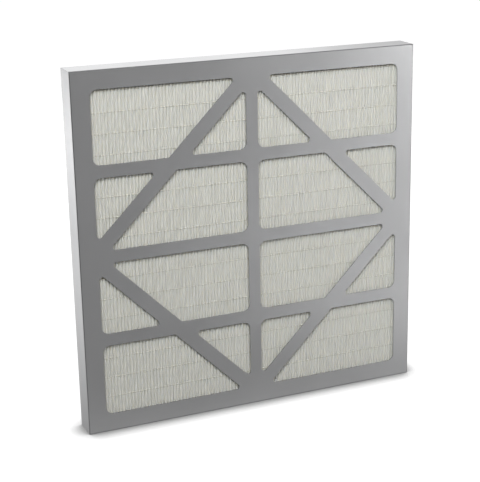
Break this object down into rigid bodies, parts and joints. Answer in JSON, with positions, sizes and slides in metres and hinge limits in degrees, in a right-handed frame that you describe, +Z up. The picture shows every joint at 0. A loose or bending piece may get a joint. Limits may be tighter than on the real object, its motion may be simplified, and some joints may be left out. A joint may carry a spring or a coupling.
{
  "type": "cassette air filter",
  "caption": "Flat cassette air filter: upright mini-pleat media in a folded sheet-metal frame, with a punched grille of bars and diamond braces over each face",
  "frame": {"origin": "middle of the narrow bottom side that the filter stands on", "axes": "+Z up, the front face towards -Y, X across the face"},
  "size_m": [0.592, 0.045, 0.592],
  "materials": {
    "frame_metal": "satin zinc-coated sheet",
    "filter_media": "matt non-woven fibre",
    "sealant": "matt set adhesive",
    "spacer_glue": "satin set hot-melt glue"
  },
  "bodies": {
    "root": {"front_frame": "frame_metal", "rear_frame": "frame_metal", "pleated_media": "filter_media", "lower_seal": "sealant", "upper_seal": "sealant", "left_seal": "sealant", "right_seal": "sealant", "front_thread_01": "spacer_glue", "rear_thread_01": "spacer_glue", "front_thread_02": "spacer_glue", "rear_thread_02": "spacer_glue", "front_thread_03": "spacer_glue", "rear_thread_03": "spacer_glue", "front_thread_04": "spacer_glue", "rear_thread_04": "spacer_glue", "front_thread_05": "spacer_glue", "rear_thread_05": "spacer_glue", "front_thread_06": "spacer_glue", "rear_thread_06": "spacer_glue", "front_thread_07": "spacer_glue", "rear_thread_07": "spacer_glue", "front_thread_08": "spacer_glue", "rear_thread_08": "spacer_glue", "front_thread_09": "spacer_glue", "rear_thread_09": "spacer_glue", "front_thread_10": "spacer_glue", "rear_thread_10": "spacer_glue", "front_thread_11": "spacer_glue", "rear_thread_11": "spacer_glue", "front_thread_12": "spacer_glue", "rear_thread_12": "spacer_glue", "front_thread_13": "spacer_glue", "rear_thread_13": "spacer_glue", "front_thread_14": "spacer_glue", "rear_thread_14": "spacer_glue", "front_thread_15": "spacer_glue", "rear_thread_15": "spacer_glue", "front_thread_16": "spacer_glue", "rear_thread_16": "spacer_glue", "front_thread_17": "spacer_glue", "rear_thread_17": "spacer_glue"}
  },
  "joints": []
}
